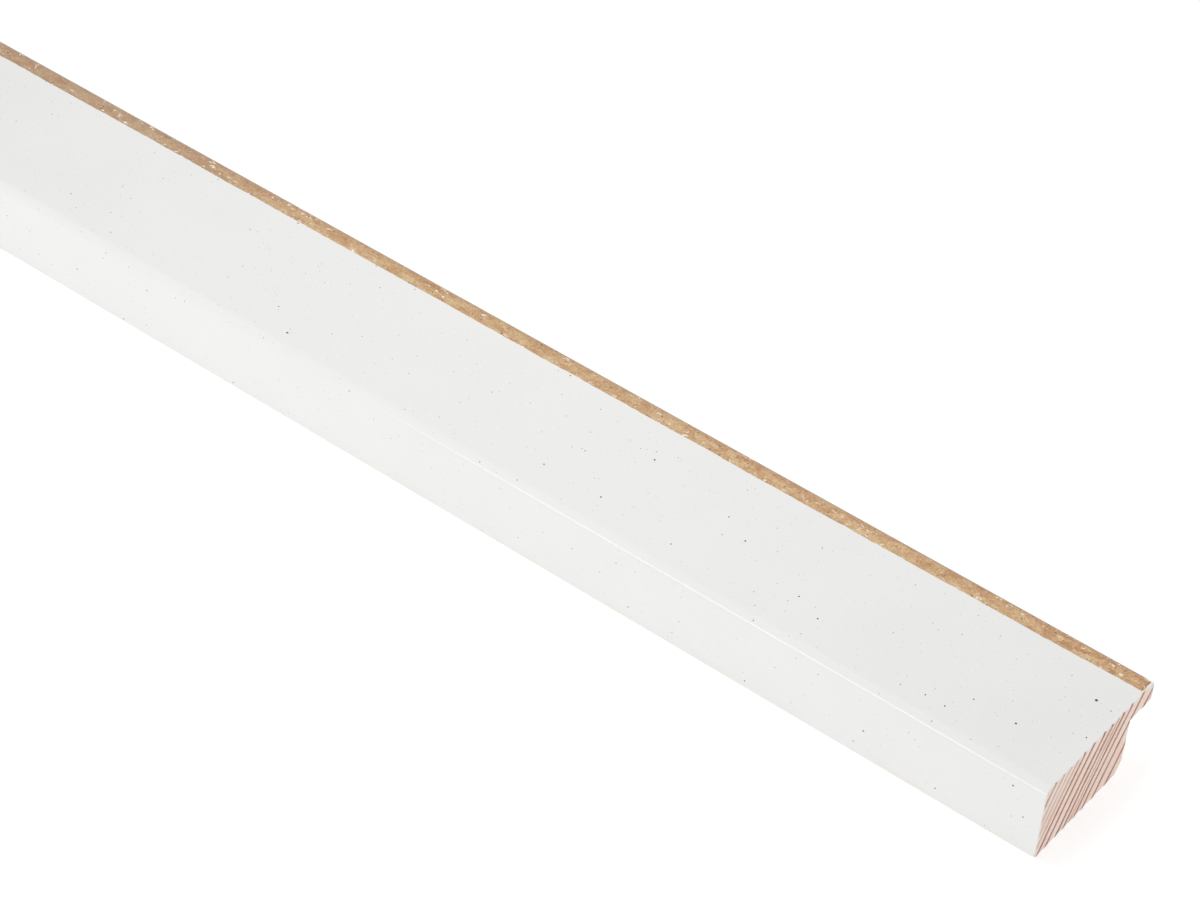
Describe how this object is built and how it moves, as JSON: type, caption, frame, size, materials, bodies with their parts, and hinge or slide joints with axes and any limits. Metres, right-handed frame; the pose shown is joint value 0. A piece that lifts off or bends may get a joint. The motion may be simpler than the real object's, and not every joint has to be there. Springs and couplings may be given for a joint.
{
  "type": "picture frame moulding",
  "caption": "Straight length of flat white picture frame moulding with a gilt sight edge and a rebate behind its lip, cut square at both ends.",
  "frame": {"origin": "middle of the stick on the plane of its flat back, under the centre of its box", "axes": "+X along the stick to the cut end that faces the viewer, +Y across the face from the outer side to the gilt sight edge, +Z from the flat back up to the white face"},
  "size_m": [0.25, 0.03, 0.0146],
  "materials": {
    "white_paint": "satin off-white paint over gesso on pine, with fine dark grey specks",
    "gilt": "satin bronze-gold leaf on the sight edge, mottled and a little rubbed",
    "bare_pine": "bare sawn pine, pale with thin reddish growth lines"
  },
  "bodies": {
    "root": {"moulding": "white_paint"}
  },
  "joints": []
}
